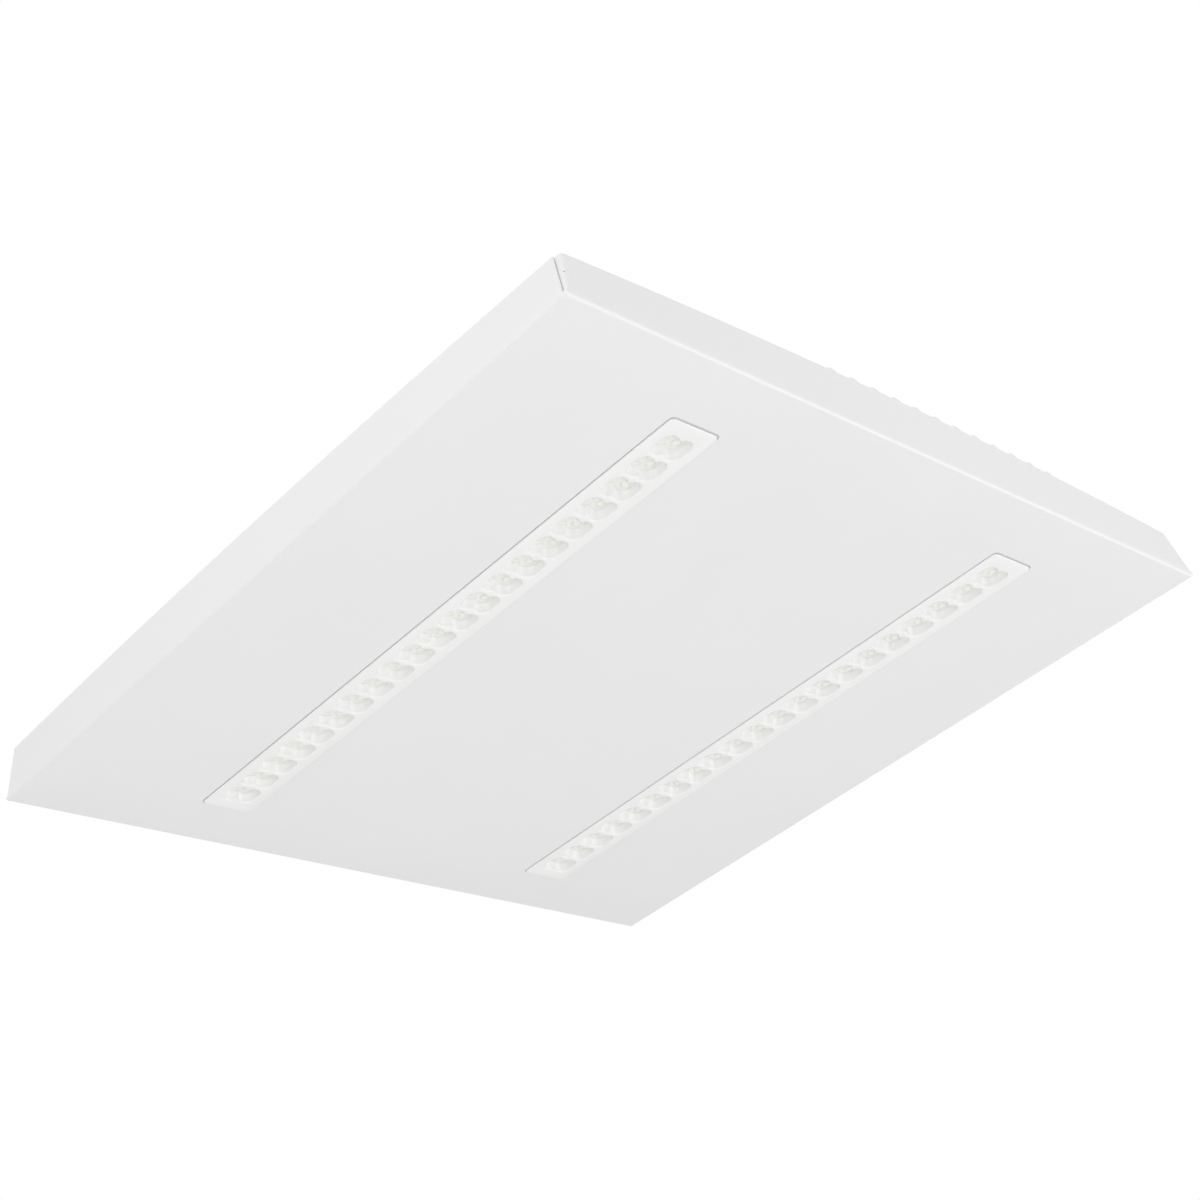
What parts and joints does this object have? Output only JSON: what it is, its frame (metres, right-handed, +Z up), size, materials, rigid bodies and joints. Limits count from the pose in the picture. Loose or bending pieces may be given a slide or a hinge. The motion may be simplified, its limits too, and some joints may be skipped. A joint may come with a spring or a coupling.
{
  "type": "recessed troffer light",
  "caption": "Square lay-in ceiling light: folded white steel tray with two long rows of cup-shaped cells, gear cover and wiring lid on the back.",
  "frame": {"origin": "centre of the flat room-side face, in the plane that rests on the ceiling grid", "axes": "+Z up into the ceiling, the two light strips run along Y, X from strip to strip"},
  "size_m": [0.595, 0.595, 0.0415],
  "materials": {
    "board_white": "solder mask",
    "button_orange": "moulded",
    "carrier_aluminium": "mill finish",
    "connector_grey": "moulded",
    "connector_white": "moulded",
    "cover_paint": "satin powder coat",
    "driver_metal": "satin",
    "led_phosphor": "silicone dome",
    "lens_clear": "clear, polished",
    "optic_white": "fine satin",
    "rivet_aluminium": "as drawn",
    "rubber_black": "matt",
    "terminal_white": "moulded",
    "white_paint": "satin powder coat",
    "wire_green": "PVC",
    "wire_grey": "PVC",
    "wire_red": "PVC",
    "zinc_steel": "bright zinc plate"
  },
  "bodies": {
    "housing": {"board_screws": "zinc_steel", "bracket_rivets": "rivet_aluminium", "cable_grommet": "rubber_black", "carrier_left": "carrier_aluminium", "carrier_nuts": "zinc_steel", "carrier_right": "carrier_aluminium", "driver_case": "driver_metal", "driver_input": "connector_grey", "driver_nuts": "zinc_steel", "driver_output": "connector_grey", "earth_lead": "wire_green", "earth_nut": "zinc_steel", "gear_cover": "cover_paint", "gear_nuts": "zinc_steel", "hinge_pin": "zinc_steel", "led_board_left": "board_white", "led_board_right": "board_white", "led_connector_left": "connector_white", "led_connector_right": "connector_white", "leds_left": "led_phosphor", "leds_right": "led_phosphor", "lens_bar_left": "lens_clear", "lens_bar_right": "lens_clear", "louvre_left": "optic_white", "louvre_right": "optic_white", "suspension_brackets": "zinc_steel", "terminal_block": "terminal_white", "terminal_nuts": "zinc_steel", "tray": "white_paint", "wires_left": "wire_red", "wires_mains": "wire_grey", "wires_right": "wire_red"},
    "lid": {"access_lid": "cover_paint"},
    "release_button_live": {"release_button_live": "button_orange"},
    "release_button_neutral": {"release_button_neutral": "button_orange"},
    "release_button_earth": {"release_button_earth": "button_orange"},
    "release_button_dim_a": {"release_button_dim_a": "button_orange"},
    "release_button_dim_b": {"release_button_dim_b": "button_orange"}
  },
  "joints": [
    {"name": "access_lid_hinge", "type": "hinge", "parent": "housing", "child": "lid", "pos_m": [0.062, -0.131, 0.036], "axis": [0, 1, 0], "range_deg": [0, 110]},
    {"name": "release_button_live_travel", "type": "slide", "parent": "housing", "child": "release_button_live", "axis": [0, 0, -1], "range_m": [0, 0.0015], "stiffness_N_per_m": 400},
    {"name": "release_button_neutral_travel", "type": "slide", "parent": "housing", "child": "release_button_neutral", "axis": [0, 0, -1], "range_m": [0, 0.0015], "stiffness_N_per_m": 400},
    {"name": "release_button_earth_travel", "type": "slide", "parent": "housing", "child": "release_button_earth", "axis": [0, 0, -1], "range_m": [0, 0.0015], "stiffness_N_per_m": 400},
    {"name": "release_button_dim_a_travel", "type": "slide", "parent": "housing", "child": "release_button_dim_a", "axis": [0, 0, -1], "range_m": [0, 0.0015], "stiffness_N_per_m": 400},
    {"name": "release_button_dim_b_travel", "type": "slide", "parent": "housing", "child": "release_button_dim_b", "axis": [0, 0, -1], "range_m": [0, 0.0015], "stiffness_N_per_m": 400}
  ]
}
